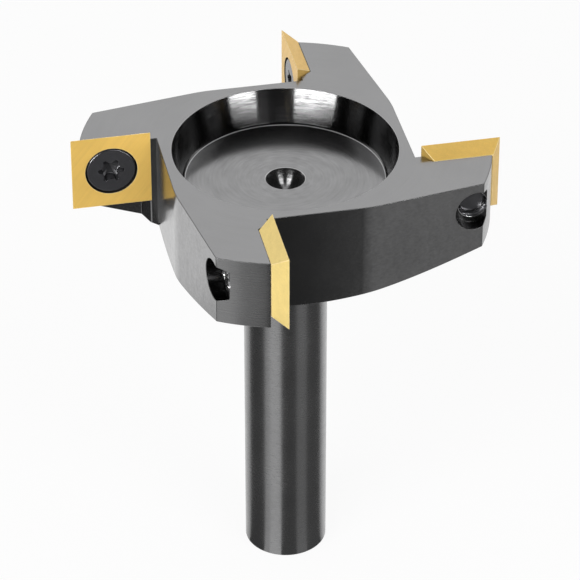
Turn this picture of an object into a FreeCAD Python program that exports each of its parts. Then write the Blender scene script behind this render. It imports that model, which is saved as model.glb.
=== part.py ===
import FreeCAD, Part
import math
import os

import Sketcher

# Surfacing cutter with four screwed-on square inserts, in millimetres and degrees.
# The origin is the centre of the shank's free end, and +Z points to the cutting face.
# An arm's own frame runs out along its insert (X), round in the cutting direction (Y) and up (Z).
# Arm 1 lies in the cutter's frame, and each further arm is a quarter turn on.

SIZES = {
    # Shank, neck and head.
    "shank_diameter": 12.7,
    "shank_chamfer": 0.6,
    "neck_fillet": 2.5,
    "face_height": 72.5,
    "underside_slope": 21.0,
    "rim_setback": 0.17,
    "rim_below_insert": 0.5,
    # Recess in the cutting face, with its centre hole.
    "recess_land": 1.36,
    "recess_wall_slope": 17.4,
    "recess_depth": 5.4,
    "recess_corner": 0.3,
    "centre_hole_diameter": 5.9,
    "centre_hole_angle": 60.0,
    "pilot_diameter": 2.5,
    "pilot_depth": 3.5,
    "drill_point_angle": 118.0,
    # Gaps between the arms.
    "gap_wall_inset": 1.0,
    "trailing_turn": 9.0,
    "trailing_length": 16.1,
    "trailing_blend": 18.0,
    "ledge_drop": 0.6,
    "ledge_edge_radius": 0.5,
    # Inserts.
    "cutting_diameter": 63.5,
    "insert_width": 12.0,
    "insert_thickness": 2.3,
    "insert_bevel": 33.7,
    "insert_face_offset": 5.83,
    "insert_stand_out": 1.5,
    "insert_side_gap": 0.25,
    # Screws and their holes, the head as a share of the insert and the thread as one of the head.
    "screw_head_share": 0.6167,
    "screw_thread_share": 0.6757,
    "screw_head_angle": 70.0,
    "screw_head_edge": 0.3,
    "screw_sink": 0.1,
    "screw_length": 6.7,
    "screw_tip_inset": 0.75,
    "screw_tip_chamfer": 0.8,
    "thread_clearance": 0.05,
    "head_seat_clearance": 0.02,
    "head_rim_clearance": 0.15,
    "clearance_hole_margin": 0.6,
    "threaded_wall": 5.6,
    # Socket, across its lobes as a share of the head, the rest as shares of that.
    "socket_share": 0.5216,
    "socket_waist_share": 0.715,
    "socket_rib_share": 0.225,
    "socket_depth": 1.5,
}

SHEET_NAME = "Sizes"
ARM_COUNT = 4
SOCKET_LOBES = 6
# How far a cutting shape runs past the surface that it cuts.
OVERCUT = 10.0

document = FreeCAD.newDocument("surfacing_cutter")


class Size:
    """A number together with the expression that gives it from the sheet."""

    def __init__(self, number, text):
        self.number = float(number)
        self.text = text

    def join(self, sign, other, number):
        """Write this size and another as one expression."""
        return Size(number, "(%s %s %s)" % (self.text, sign, as_size(other).text))

    def __add__(self, other):
        return self.join("+", other, self.number + as_size(other).number)

    def __sub__(self, other):
        return self.join("-", other, self.number - as_size(other).number)

    def __mul__(self, other):
        return self.join("*", other, self.number * as_size(other).number)

    def __truediv__(self, other):
        return self.join("/", other, self.number / as_size(other).number)

    def __neg__(self):
        return self * -1


def as_size(value):
    """Give a plain number the form of a size."""
    if isinstance(value, Size):
        return value
    return Size(value, repr(float(value)))


def tangent(angle):
    """Tangent of a size in degrees."""
    return Size(math.tan(math.radians(angle.number)), "tan(%s * 1deg)" % angle.text)


def square_root(value):
    """Square root of a size."""
    return Size(math.sqrt(value.number), "sqrt(%s)" % value.text)


ZERO = Size(0, "0")


def fill_sheet():
    """Write the sizes into the sheet and return them by name."""
    sheet = document.addObject("Spreadsheet::Sheet", SHEET_NAME)
    sizes = {}
    for row, (name, number) in enumerate(SIZES.items(), start=1):
        sheet.set("A%d" % row, name.replace("_", " "))
        sheet.set("B%d" % row, "%g" % number)
        sheet.setAlias("B%d" % row, name)
        sizes[name] = Size(number, "%s.%s" % (SHEET_NAME, name))
    document.recompute()
    return sizes


def bind(target, path, size):
    """Tie one property of an object to the sheet."""
    target.setExpression(path, as_size(size).text)


def new_sketch(body, name, plane_role, offset=ZERO):
    """Make a sketch on one of the body's own origin planes, moved along its normal."""
    plane = next(item for item in body.Origin.OriginFeatures if item.Role == plane_role)
    sketch = body.newObject("Sketcher::SketchObject", name)
    sketch.AttachmentSupport = [(plane, "")]
    sketch.MapMode = "FlatFace"
    if offset is not ZERO:
        bind(sketch, "AttachmentOffset.Base.z", offset)
    return sketch


def add_bound(sketch, constraint, name, size):
    """Add a constraint under a name and tie its value to the sheet."""
    index = sketch.addConstraint(constraint)
    sketch.renameConstraint(index, name)
    bind(sketch, "Constraints." + name, size)


def pin_point(sketch, geometry, end, place, name):
    """Fix one point of the sketch at its distances from the sketch's origin."""
    for axis, kind, size in ((-2, "DistanceX", place[0]), (-1, "DistanceY", place[1])):
        if size is ZERO:
            sketch.addConstraint(Sketcher.Constraint("PointOnObject", geometry, end, axis))
            continue
        constraint = Sketcher.Constraint(kind, -1, 1, geometry, end, size.number)
        add_bound(sketch, constraint, name + kind[-1], size)


def vector(place):
    """Give a place in a sketch as a vector."""
    return FreeCAD.Vector(place[0].number, place[1].number, 0)


def corner_arc(before, corner, after, radius):
    """Give the tangent points, the arc between them and its turn at a rounded corner."""
    back = (vector(before) - vector(corner)).normalize()
    ahead = (vector(after) - vector(corner)).normalize()
    half = back.getAngle(ahead) / 2
    start = vector(corner) + back * (radius / math.tan(half))
    end = vector(corner) + ahead * (radius / math.tan(half))
    inwards = (back + ahead).normalize()
    middle = vector(corner) + inwards * (radius / math.sin(half) - radius)
    return start, end, Part.Arc(start, middle, end), back.cross(ahead).z < 0


def draw_outline(sketch, corners):
    """Draw a closed outline of straight runs, each corner (x, y) or (x, y, rounding radius)."""
    count = len(corners)
    leaves = [vector(corner) for corner in corners]
    arrives = list(leaves)
    arcs = {}
    for index, corner in enumerate(corners):
        if len(corner) == 3:
            arrives[index], leaves[index], arc, turns_left = corner_arc(
                corners[index - 1], corner, corners[(index + 1) % count], corner[2].number)
            arcs[index] = (arc, turns_left)
    for index in range(count):
        sketch.addGeometry(Part.LineSegment(leaves[index], arrives[(index + 1) % count]), False)
    for index, corner in enumerate(corners):
        run_before = (index - 1) % count
        name = "corner%d" % index
        if index in arcs:
            round_corner(sketch, corner, (run_before, index), arcs[index], name)
        else:
            sketch.addConstraint(Sketcher.Constraint("Coincident", run_before, 2, index, 1))
            pin_point(sketch, index, 1, corner, name)


def round_corner(sketch, corner, runs, arc_and_turn, name):
    """Round a corner of the outline with an arc tangent to the runs before and after it."""
    run_before, run_after = runs
    arc, turns_left = arc_and_turn
    arc_start, arc_end = (1, 2) if turns_left else (2, 1)
    arc_id = sketch.addGeometry(arc, False)
    point_id = sketch.addGeometry(Part.Point(vector(corner)), True)
    pin_point(sketch, point_id, 1, corner, name)
    sketch.addConstraint(Sketcher.Constraint("Tangent", run_before, 2, arc_id, arc_start))
    sketch.addConstraint(Sketcher.Constraint("Tangent", arc_id, arc_end, run_after, 1))
    sketch.addConstraint(Sketcher.Constraint("PointOnObject", point_id, 1, run_before))
    sketch.addConstraint(Sketcher.Constraint("PointOnObject", point_id, 1, run_after))
    radius = corner[2]
    constraint = Sketcher.Constraint("Radius", arc_id, radius.number)
    add_bound(sketch, constraint, name + "Radius", radius)


def draw_circle(sketch, centre, diameter):
    """Draw one circle at (x, y)."""
    circle = Part.Circle(vector(centre), FreeCAD.Vector(0, 0, 1), diameter.number / 2)
    circle_id = sketch.addGeometry(circle, False)
    pin_point(sketch, circle_id, 3, centre, "centre")
    constraint = Sketcher.Constraint("Diameter", circle_id, diameter.number)
    add_bound(sketch, constraint, "diameter", diameter)


def revolve(body, sketch, name, kind="PartDesign::Revolution"):
    """Turn a sketch about its own vertical axis."""
    feature = body.newObject(kind, name)
    feature.Profile = sketch
    feature.ReferenceAxis = (sketch, ["V_Axis"])
    feature.Angle = 360
    return feature


def pocket(body, sketch, name):
    """Cut a sketch into the body, along its normal and right through."""
    feature = body.newObject("PartDesign::Pocket", name)
    feature.Profile = sketch
    feature.Reversed = True
    feature.Type = "ThroughAll"
    return feature


def arm_places(sizes):
    """Work out where the insert, its seat and its screw lie in an arm's frame."""
    offset = sizes["insert_face_offset"]
    width = sizes["insert_width"]
    cutting_radius = sizes["cutting_diameter"] / 2
    reach = square_root(cutting_radius * cutting_radius - offset * offset)
    bevel_inset = sizes["insert_thickness"] * tangent(sizes["insert_bevel"])
    seat = -offset - sizes["insert_thickness"]
    back_corner = reach - bevel_inset
    inner_edge = reach - width
    below_face = width - sizes["insert_stand_out"]
    screw_head = width * sizes["screw_head_share"]
    return {
        "face": -offset,
        "seat": seat,
        "ledge": -offset - sizes["ledge_drop"],
        "bevel_inset": bevel_inset,
        "inner_edge": inner_edge,
        "gap_wall": inner_edge - sizes["gap_wall_inset"],
        "middle": reach - width / 2,
        "middle_height": sizes["face_height"] - below_face + width / 2,
        "below_face": below_face,
        "screw_head": screw_head,
        "screw_thread": screw_head * sizes["screw_thread_share"],
        "rim": square_root(back_corner * back_corner + seat * seat) - sizes["rim_setback"],
    }


def body_profile(sizes, arm):
    """Half section of the turned blank: shank, cone, rim, recess and centre hole."""
    shank = sizes["shank_diameter"] / 2
    chamfer = sizes["shank_chamfer"]
    rim = arm["rim"]
    face = sizes["face_height"]
    cone_edge = face - arm["below_face"] - sizes["rim_below_insert"]
    cone_foot = cone_edge - (rim - shank) * tangent(sizes["underside_slope"])
    recess_rim = arm["gap_wall"] - sizes["recess_land"]
    wall_slope = tangent(sizes["recess_wall_slope"])
    corner = sizes["recess_corner"]
    floor = face - sizes["recess_depth"]
    recess_foot = recess_rim - (sizes["recess_depth"] - corner) * wall_slope
    centre = sizes["centre_hole_diameter"] / 2
    pilot = sizes["pilot_diameter"] / 2
    pilot_start = floor - (centre - pilot) / tangent(sizes["centre_hole_angle"] / 2)
    pilot_end = pilot_start - sizes["pilot_depth"]
    point_end = pilot_end - pilot / tangent(sizes["drill_point_angle"] / 2)
    return [
        (ZERO, ZERO),
        (shank - chamfer, ZERO),
        (shank, chamfer),
        (shank, cone_foot, sizes["neck_fillet"]),
        (rim, cone_edge),
        (rim, face),
        (recess_rim, face),
        (recess_foot, floor + corner),
        (recess_foot - corner, floor),
        (centre, floor),
        (pilot, pilot_start),
        (pilot, pilot_end),
        (ZERO, point_end),
    ]


def gap_outline(sizes, arm):
    """Plan of the gap between arm 1's trailing side and the seat of the arm behind it.

    The arm behind points along -Y and cuts towards +X, so that its out is this frame's -Y
    and its forwards is this frame's +X."""
    wall = -arm["gap_wall"]
    outside = arm["rim"] + OVERCUT
    bend = arm["middle"] - sizes["trailing_length"]
    trailing_end = wall + (outside - bend) * tangent(sizes["trailing_turn"])
    side_at_face = arm["inner_edge"] - sizes["insert_side_gap"]
    side_at_ledge = side_at_face + sizes["ledge_drop"] * tangent(sizes["insert_bevel"])
    side_at_seat = side_at_face + arm["bevel_inset"]
    return [
        (bend, wall, sizes["trailing_blend"]),
        (arm["ledge"], wall),
        (arm["ledge"], -side_at_ledge, sizes["ledge_edge_radius"]),
        (arm["seat"], -side_at_seat),
        (arm["seat"], -outside),
        (outside, -outside),
        (outside, trailing_end),
    ]


def build_body(sizes, arm):
    """Turn the blank, then cut the gaps and screw holes of the four arms."""
    body = document.addObject("PartDesign::Body", "cutter_body")
    profile = new_sketch(body, "body_profile", "XZ_Plane")
    draw_outline(profile, body_profile(sizes, arm))
    revolve(body, profile, "turned_blank")

    gap_plan = new_sketch(body, "gap_plan", "XY_Plane")
    draw_outline(gap_plan, gap_outline(sizes, arm))
    gap = pocket(body, gap_plan, "gap")

    screw_centre = (arm["middle"], arm["middle_height"])
    thread_plan = new_sketch(body, "thread_plan", "XZ_Plane")
    thread_bore = arm["screw_thread"] + sizes["thread_clearance"] * 2
    draw_circle(thread_plan, screw_centre, thread_bore)
    thread = pocket(body, thread_plan, "thread_hole")

    thread_end = sizes["threaded_wall"] - arm["seat"]
    clearance_plan = new_sketch(body, "clearance_plan", "XZ_Plane", thread_end)
    clearance_bore = arm["screw_thread"] + sizes["clearance_hole_margin"] * 2
    draw_circle(clearance_plan, screw_centre, clearance_bore)
    clearance = pocket(body, clearance_plan, "clearance_hole")

    pattern = body.newObject("PartDesign::PolarPattern", "four_arms")
    pattern.Originals = [gap, thread, clearance]
    pattern.Axis = (gap_plan, ["N_Axis"])
    pattern.Angle = 360
    pattern.Occurrences = ARM_COUNT
    body.Tip = pattern
    return body


def seat_on_arm(piece, arm, number, sink=ZERO):
    """Put a piece, drawn about its own hole with its face at Y = 0, on one arm's insert seat."""
    turn = FreeCAD.Rotation(FreeCAD.Vector(0, 0, 1), 360 / ARM_COUNT * (number - 1))
    out = turn.multVec(FreeCAD.Vector(1, 0, 0))
    forwards = turn.multVec(FreeCAD.Vector(0, 1, 0))
    face = arm["face"] - sink
    piece.Placement = FreeCAD.Placement(FreeCAD.Vector(), turn)
    bind(piece, "Placement.Base.x", arm["middle"] * round(out.x) + face * round(forwards.x))
    bind(piece, "Placement.Base.y", arm["middle"] * round(out.y) + face * round(forwards.y))
    bind(piece, "Placement.Base.z", arm["middle_height"])


def head_sizes(sizes, arm):
    """Give the head's radius, the thread's radius, the rim's depth and the cone's depth."""
    head = arm["screw_head"] / 2
    thread = arm["screw_thread"] / 2
    edge = sizes["screw_head_edge"]
    cone_depth = edge + (head - thread) / tangent(sizes["screw_head_angle"] / 2)
    return head, thread, edge, cone_depth


def insert_hole_profile(sizes, arm):
    """Half section of an insert's hole, which follows the screw's head."""
    head, thread, edge, cone_depth = head_sizes(sizes, arm)
    clearance = sizes["head_seat_clearance"]
    below = sizes["insert_thickness"] + OVERCUT
    return [
        (ZERO, ZERO),
        (head + sizes["head_rim_clearance"], ZERO),
        (head + clearance, -(sizes["screw_sink"] + edge)),
        (thread + clearance, -(sizes["screw_sink"] + cone_depth)),
        (thread + clearance, -below),
        (ZERO, -below),
    ]


def build_insert(sizes, arm, number):
    """Press a square insert: bevelled on four sides, with a countersunk hole."""
    body = document.addObject("PartDesign::Body", "cutting_insert_%d" % number)
    face_half = sizes["insert_width"] / 2
    back_half = face_half - arm["bevel_inset"]
    blank = body.newObject("PartDesign::AdditiveWedge", "insert_blank_%d" % number)
    for axis in ("X", "Z"):
        bind(blank, axis + "min", -back_half)
        bind(blank, axis + "max", back_half)
        bind(blank, axis + "2min", -face_half)
        bind(blank, axis + "2max", face_half)
    bind(blank, "Ymin", -sizes["insert_thickness"])
    bind(blank, "Ymax", ZERO)
    hole = new_sketch(body, "insert_hole_%d" % number, "XY_Plane")
    draw_outline(hole, insert_hole_profile(sizes, arm))
    revolve(body, hole, "insert_countersink_%d" % number, "PartDesign::Groove")
    seat_on_arm(body, arm, number)
    return body


def screw_profile(sizes, arm):
    """Half section of a screw: flat head, cone, thread's outside and chamfered tip."""
    head, thread, edge, cone_depth = head_sizes(sizes, arm)
    length = sizes["screw_length"]
    return [
        (ZERO, ZERO),
        (head - edge / 2, ZERO),
        (head, -edge / 2),
        (head, -edge),
        (thread, -cone_depth),
        (thread, -(length - sizes["screw_tip_chamfer"])),
        (thread - sizes["screw_tip_inset"], -length),
        (ZERO, -length),
    ]


def socket_bar(name, radius, half_length, across=0.0, up=0.0):
    """Make a round bar along the screw's axis, centred on the head's face."""
    bar = document.addObject("Part::Cylinder", name)
    bar.Placement.Rotation = FreeCAD.Rotation(FreeCAD.Vector(1, 0, 0), 90)
    bind(bar, "Radius", radius)
    bind(bar, "Height", half_length * 2)
    bind(bar, "Placement.Base.x", across)
    bind(bar, "Placement.Base.y", half_length)
    bind(bar, "Placement.Base.z", up)
    return bar


def build_socket(sizes, arm, number):
    """Make the socket as a solid: a round bar with a hollow between each two lobes."""
    depth = sizes["socket_depth"]
    across = arm["screw_head"] * sizes["socket_share"]
    bar = socket_bar("socket_bar_%d" % number, across / 2, depth)
    rib_radius = across * sizes["socket_rib_share"]
    rib_place = across * sizes["socket_waist_share"] / 2 + rib_radius
    ribs = []
    for index in range(SOCKET_LOBES):
        angle = math.radians(360 * (index + 0.5) / SOCKET_LOBES)
        ribs.append(socket_bar(
            "socket_rib_%d_%d" % (number, index + 1), rib_radius, depth * 2,
            rib_place * math.cos(angle), rib_place * math.sin(angle)))
    rib_group = document.addObject("Part::MultiFuse", "socket_ribs_%d" % number)
    rib_group.Shapes = ribs
    socket = document.addObject("Part::Cut", "socket_%d" % number)
    socket.Base = bar
    socket.Tool = rib_group
    return socket


def build_screw(sizes, arm, number):
    """Turn a countersunk screw and press its six-lobe socket."""
    blank = document.addObject("PartDesign::Body", "screw_blank_%d" % number)
    profile = new_sketch(blank, "screw_profile_%d" % number, "XY_Plane")
    draw_outline(profile, screw_profile(sizes, arm))
    revolve(blank, profile, "screw_turned_%d" % number)
    screw = document.addObject("Part::Cut", "insert_screw_%d" % number)
    screw.Base = blank
    screw.Tool = build_socket(sizes, arm, number)
    seat_on_arm(screw, arm, number, sizes["screw_sink"])
    return screw


def build_all():
    """Build every piece of the cutter."""
    sizes = fill_sheet()
    arm = arm_places(sizes)
    pieces = [build_body(sizes, arm)]
    for number in range(1, ARM_COUNT + 1):
        pieces.append(build_insert(sizes, arm, number))
        pieces.append(build_screw(sizes, arm, number))
    document.recompute()
    return pieces


def check(pieces):
    """Stop on a failed object, or on a piece that isn't one valid solid."""
    for item in document.Objects:
        if "Invalid" in item.State or "Error" in item.State:
            raise RuntimeError("%s failed: %s" % (item.Label, item.State))
    for piece in pieces:
        shape = piece.Shape
        if shape.isNull() or not shape.isValid() or len(shape.Solids) != 1:
            raise RuntimeError("%s isn't one valid solid" % piece.Label)


def write(pieces):
    """Write one STEP file for each piece."""
    os.makedirs("parts", exist_ok=True)
    for piece in pieces:
        piece.Shape.exportStep("parts/%s.step" % piece.Label)
        box = piece.Shape.BoundBox
        print("%s volume %.1f z %.2f to %.2f" % (
            piece.Label, piece.Shape.Volume, box.ZMin, box.ZMax))


pieces = build_all()
check(pieces)
write(pieces)
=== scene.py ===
import logging
import math
from dataclasses import dataclass, replace
from enum import Enum
from typing import Callable, Sequence

import bmesh
import bpy
from mathutils import Matrix, Vector


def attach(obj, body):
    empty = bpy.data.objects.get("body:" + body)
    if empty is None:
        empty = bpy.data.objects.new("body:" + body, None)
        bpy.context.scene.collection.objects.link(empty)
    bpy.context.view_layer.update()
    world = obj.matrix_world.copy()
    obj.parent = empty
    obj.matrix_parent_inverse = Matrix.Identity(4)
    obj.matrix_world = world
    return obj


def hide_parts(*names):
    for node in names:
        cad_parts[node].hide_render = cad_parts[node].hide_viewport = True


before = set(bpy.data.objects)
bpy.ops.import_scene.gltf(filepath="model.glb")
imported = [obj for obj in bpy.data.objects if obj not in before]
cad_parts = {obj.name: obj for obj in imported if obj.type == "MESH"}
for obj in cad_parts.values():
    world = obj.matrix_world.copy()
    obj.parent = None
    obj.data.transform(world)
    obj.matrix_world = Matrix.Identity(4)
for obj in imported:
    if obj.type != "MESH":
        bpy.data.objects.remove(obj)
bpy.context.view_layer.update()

log = logging.getLogger("surfacing_cutter")

# Pieces are worked in millimetres, and their meshes go into the frame's metres at the end.
MM = 0.001

# Corners nearer than this are one.
WELD = 1e-4
# A drawn corner is found again within this.
SAME_PLACE = 1e-3
# Edges sharper than this many degrees are broken.
SHARP_ANGLE = 25.0
# How far a drill or punch starts outside the piece.
OVERRUN = 1.0
# Corners in the rings of small round pieces.
ROUND_STEPS = 96
# Straight runs in a turn of thread, and the share of the pitch that half its groove takes.
THREAD_STEPS = 40
THREAD_HALF = 0.46

Ring = tuple[float, float]
Span = tuple[float, float]
Colour = tuple[float, float, float]
Place = tuple[float, float, float]
Piece = bpy.types.Object
Socket = bpy.types.NodeSocket


# Bench tools: selecting, turning, cutting and finishing a mesh.


def clear_selection() -> None:
    """Leave edit mode and deselect every object."""
    if bpy.context.object is not None and bpy.context.object.mode != "OBJECT":
        bpy.ops.object.mode_set(mode="OBJECT")
    bpy.ops.object.select_all(action="DESELECT")


def pick(piece: Piece) -> None:
    """Select one piece alone and make it active.

    Args:
        piece: The object to work on next.
    """
    clear_selection()
    piece.select_set(True)
    bpy.context.view_layer.objects.active = piece


def settle(piece: Piece) -> None:
    """Put a piece's place, turn and scale into its mesh, with its origin at the frame's."""
    pick(piece)
    bpy.ops.object.transform_apply(location=True, rotation=True, scale=True)


def into_frame(piece: Piece) -> None:
    """Bring a finished piece worked in millimetres to the frame's metres."""
    piece.scale = (MM, MM, MM)
    settle(piece)


def edit_all(piece: Piece) -> None:
    """Go into a piece's edit mode, with everything selected.

    Args:
        piece: The piece to edit.
    """
    pick(piece)
    bpy.ops.object.mode_set(mode="EDIT")
    bpy.ops.mesh.select_all(action="SELECT")


def apply_modifier(piece: Piece, kind: str, **settings: object) -> None:
    """Add a modifier to a piece, set it and apply it.

    Args:
        piece: The piece to change.
        kind: The modifier's type.
        **settings: Values for its properties.
    """
    pick(piece)
    bpy.ops.object.modifier_add(type=kind)
    modifier = piece.modifiers[-1]
    for name, value in settings.items():
        setattr(modifier, name, value)
    bpy.ops.object.modifier_apply(modifier=modifier.name)


def face_outwards(piece: Piece) -> None:
    """Merge doubles and turn every face outwards.

    Args:
        piece: A closed mesh.
    """
    edit_all(piece)
    bpy.ops.mesh.remove_doubles(threshold=WELD)
    bpy.ops.mesh.normals_make_consistent(inside=False)
    bpy.ops.object.mode_set(mode="OBJECT")


def turned(name: str, rings: Sequence[Ring], steps: int) -> Piece:
    """Turn a solid about Z, one ring at a time, as on a lathe.

    Args:
        name: Name of the new object.
        rings: Radius and height of each ring, from one end to the other.
        steps: Number of corners in each ring.

    Returns:
        The closed solid.
    """
    clear_selection()
    radius, height = rings[0]
    bpy.ops.mesh.primitive_circle_add(
        vertices=steps, radius=radius, fill_type="NGON", location=(0, 0, height))
    piece = bpy.context.active_object
    piece.name = name
    settle(piece)
    edit_all(piece)
    for next_radius, next_height in rings[1:]:
        bpy.ops.mesh.extrude_region_move(
            TRANSFORM_OT_translate={"value": (0, 0, next_height - height)})
        if next_radius == 0:
            bpy.ops.mesh.merge(type="CENTER")
        else:
            scale = next_radius / radius
            bpy.ops.transform.resize(
                value=(scale, scale, 1), center_override=(0, 0, next_height))
        radius, height = next_radius, next_height
    face_outwards(piece)
    return piece


def drawn(name: str, outline: Sequence[Ring]) -> Piece:
    """Draw a closed outline in the XY plane, point by point.

    Args:
        name: Name of the new object.
        outline: The corners, in order.

    Returns:
        The outline as a ring of edges, still in edit mode and selected all over.
    """
    clear_selection()
    bpy.ops.mesh.primitive_plane_add(size=1)
    piece = bpy.context.active_object
    piece.name = name
    edit_all(piece)
    bpy.ops.mesh.merge(type="CENTER")
    bpy.ops.transform.translate(value=(*outline[0], 0))
    for before, corner in zip(outline, outline[1:]):
        bpy.ops.mesh.extrude_vertices_move(
            TRANSFORM_OT_translate={"value": (corner[0] - before[0], corner[1] - before[1], 0)})
    mesh = bmesh.from_edit_mesh(piece.data)
    ends = [vertex for vertex in mesh.verts if len(vertex.link_edges) == 1]
    for vertex in mesh.verts:
        vertex.select_set(vertex in ends)
    mesh.select_flush_mode()
    bmesh.update_edit_mesh(piece.data)
    bpy.ops.mesh.edge_face_add()
    bpy.ops.mesh.select_all(action="SELECT")
    return piece


def prism(name: str, outline: Sequence[Sequence[float]], bottom: float,
          top: float) -> Piece:
    """Extrude a plan outline upwards.

    Args:
        name: Name of the new object.
        outline: Corners as (x, y) or (x, y, rounding radius).
        bottom: Height of the outline.
        top: Height of the far end.

    Returns:
        The closed solid.
    """
    piece = drawn(name, [corner[:2] for corner in outline])
    bpy.ops.mesh.edge_face_add()
    count = len(outline)
    for index, corner in enumerate(outline):
        if len(corner) == 3:
            round_corner(outline[index - 1], corner, outline[(index + 1) % count])
    bpy.ops.mesh.select_all(action="SELECT")
    bpy.ops.transform.translate(value=(0, 0, bottom))
    bpy.ops.mesh.extrude_region_move(TRANSFORM_OT_translate={"value": (0, 0, top - bottom)})
    face_outwards(piece)
    return piece


def round_corner(before: Sequence[float], corner: Sequence[float],
                 after: Sequence[float]) -> None:
    """Round one corner of the flat outline that is being edited.

    Args:
        before: The corner before it.
        corner: The corner with its rounding radius.
        after: The corner after it.
    """
    data = bpy.context.edit_object.data
    mesh = bmesh.from_edit_mesh(data)
    place = Vector(corner[:2])
    bpy.ops.mesh.select_all(action="DESELECT")
    for vertex in mesh.verts:
        if (vertex.co.xy - place).length < SAME_PLACE:
            vertex.select_set(True)
    mesh.select_flush_mode()
    bmesh.update_edit_mesh(data)
    back = Vector(before[:2]) - place
    ahead = Vector(after[:2]) - place
    setback = corner[2] / math.tan(back.angle(ahead) / 2)
    bpy.ops.mesh.bevel(
        affect="VERTICES", offset=setback, segments=max(4, round(corner[2])), profile=0.5,
        clamp_overlap=False)


def helical_ridge(name: str, tip: float, root: float, pitch: float, start: float,
                  turns: int) -> Piece:
    """Wind a V-shaped ridge about Z, to cut a thread with.

    Args:
        name: Name of the new object.
        tip: Radius of the V's tip.
        root: Radius of the V's open side.
        pitch: Advance in one turn.
        start: Height at which it starts.
        turns: Number of turns.

    Returns:
        The closed ridge.
    """
    half = pitch * THREAD_HALF
    piece = drawn(name, [(tip, 0), (root, -half), (root, half)])
    bpy.ops.object.mode_set(mode="OBJECT")
    piece.rotation_euler.x = math.pi / 2
    settle(piece)
    apply_modifier(piece, "SCREW", steps=THREAD_STEPS, render_steps=THREAD_STEPS,
                   screw_offset=pitch, iterations=turns)
    edit_all(piece)
    bpy.ops.mesh.fill_holes(sides=3)
    bpy.ops.object.mode_set(mode="OBJECT")
    piece.location.z = start
    settle(piece)
    face_outwards(piece)
    return piece


def put_in_order(data: bpy.types.Mesh) -> None:
    """Number a mesh's corners, edges and faces by place, so that every run gives the same.

    Args:
        data: A mesh that has just been cut, which leaves them in any order.
    """
    mesh = bmesh.new()
    mesh.from_mesh(data)
    keys = (lambda vertex: vertex.co[:],
            lambda edge: sorted(end.index for end in edge.verts),
            lambda face: sorted(corner.index for corner in face.verts))
    for parts, key in zip((mesh.verts, mesh.edges, mesh.faces), keys):
        ranks = {part: rank for rank, part in enumerate(sorted(parts, key=key))}
        parts.sort(key=ranks.get)
        parts.index_update()
    mesh.to_mesh(data)
    mesh.free()


def cut(piece: Piece, tool: Piece) -> None:
    """Cut a piece with a tool and take the tool away.

    Args:
        piece: The piece to cut.
        tool: The closed mesh that cuts it.
    """
    apply_modifier(piece, "BOOLEAN", operation="DIFFERENCE", solver="EXACT", object=tool)
    bpy.data.objects.remove(tool)
    put_in_order(piece.data)


def copies_round(piece: Piece, count: int) -> list[Piece]:
    """Copy a piece round the vertical axis, each copy with its own mesh.

    Args:
        piece: The first one.
        count: How many there are in all.

    Returns:
        All of them, from the first one on.
    """
    pieces = [piece]
    for index in range(1, count):
        pick(piece)
        bpy.ops.object.duplicate()
        copy = bpy.context.active_object
        copy.rotation_euler.z = 2 * math.pi * index / count
        settle(copy)
        pieces.append(copy)
    return pieces


def all_round(piece: Piece, count: int) -> Piece:
    """Repeat a piece round the vertical axis and join the copies.

    Args:
        piece: The first one.
        count: How many there are in all.

    Returns:
        One object that holds them all.
    """
    copies = copies_round(piece, count)
    pick(piece)
    for copy in copies:
        copy.select_set(True)
    bpy.ops.object.join()
    return piece


def break_edges(piece: Piece, width: float, slot: int = -1) -> None:
    """Take the sharpness off every edge.

    Args:
        piece: The finished solid.
        width: Width of each edge break.
        slot: Material slot of the new faces, or -1 for their neighbours'.
    """
    apply_modifier(piece, "BEVEL", width=width, segments=2, limit_method="ANGLE",
                   angle_limit=math.radians(SHARP_ANGLE), use_clamp_overlap=False,
                   material=slot)


def smooth(piece: Piece, angle: float) -> None:
    """Shade a piece smooth, with its flats kept flat by their area.

    Args:
        piece: The finished mesh.
        angle: Edges sharper than this many degrees stay sharp.
    """
    pick(piece)
    bpy.ops.object.shade_smooth_by_angle(angle=math.radians(angle))
    apply_modifier(piece, "WEIGHTED_NORMAL", keep_sharp=True)


def merge_flats(piece: Piece, angle: float, shortest: float) -> None:
    """Dissolve the edges that lie inside a flat, and the slivers that cutting leaves.

    Args:
        piece: A solid that has just been cut.
        angle: Faces within this many degrees of each other become one.
        shortest: Corners nearer than this become one.
    """
    edit_all(piece)
    bpy.ops.mesh.dissolve_limited(angle_limit=math.radians(angle))
    bpy.ops.mesh.select_all(action="SELECT")
    bpy.ops.mesh.remove_doubles(threshold=shortest)
    bpy.ops.object.mode_set(mode="OBJECT")


def finish_round(first: Piece, count: int, dress: Callable[[Piece, int], None],
                 angle: float) -> list[Piece]:
    """Copy a shaped piece to every arm, number the copies and finish each.

    Args:
        first: The first arm's piece.
        count: Number of arms.
        dress: Gives a piece its finish, by its place round the cutter.
        angle: Edges sharper than this many degrees stay sharp.

    Returns:
        The finished pieces.
    """
    name = first.name
    pieces = copies_round(first, count)
    for index, piece in enumerate(pieces):
        piece.name = "%s_%d" % (name, index + 1)
        into_frame(piece)
        dress(piece, index)
        smooth(piece, angle)
    return pieces


def slope_of(degrees: float) -> float:
    """Give the rise over the run of an angle in degrees."""
    return math.tan(math.radians(degrees))


def spread(low: float, high: float, step: float) -> list[float]:
    """Divide a range into equal steps no larger than the one given, both ends included."""
    count = max(1, math.ceil((high - low) / step))
    return [low + (high - low) * index / count for index in range(count + 1)]


# Sizes that the pieces share.


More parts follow.
